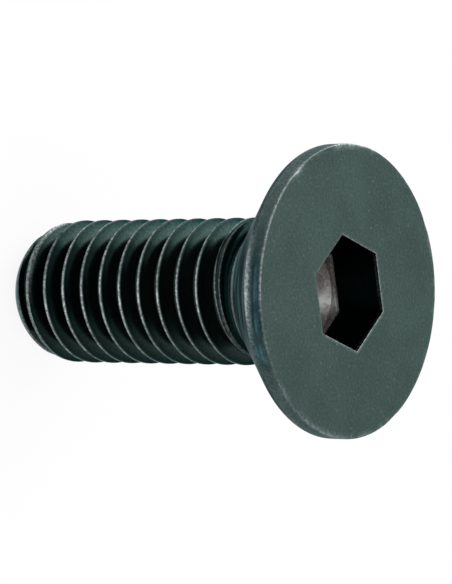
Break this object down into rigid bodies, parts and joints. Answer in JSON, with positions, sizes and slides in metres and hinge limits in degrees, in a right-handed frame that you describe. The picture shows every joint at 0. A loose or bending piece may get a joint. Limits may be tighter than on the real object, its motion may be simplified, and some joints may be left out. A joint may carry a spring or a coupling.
{
  "type": "countersunk hexagon socket clamping screw",
  "caption": "Black-oxide steel M6 x 16 clamping screw with a flat countersunk head, a hexagon socket and a rolled thread along the whole shank.",
  "frame": {"origin": "centre of the flat threaded end, on which the screw stands", "axes": "+Z along the screw's axis from the threaded end to the head's face; +X and +Y lie in the plane of the end"},
  "size_m": [0.0116, 0.0116, 0.016],
  "materials": {
    "black_oxide_steel": "matte black oxide, worn pale on the edges and crests"
  },
  "bodies": {
    "root": {"clamping_screw": "black_oxide_steel"}
  },
  "joints": []
}
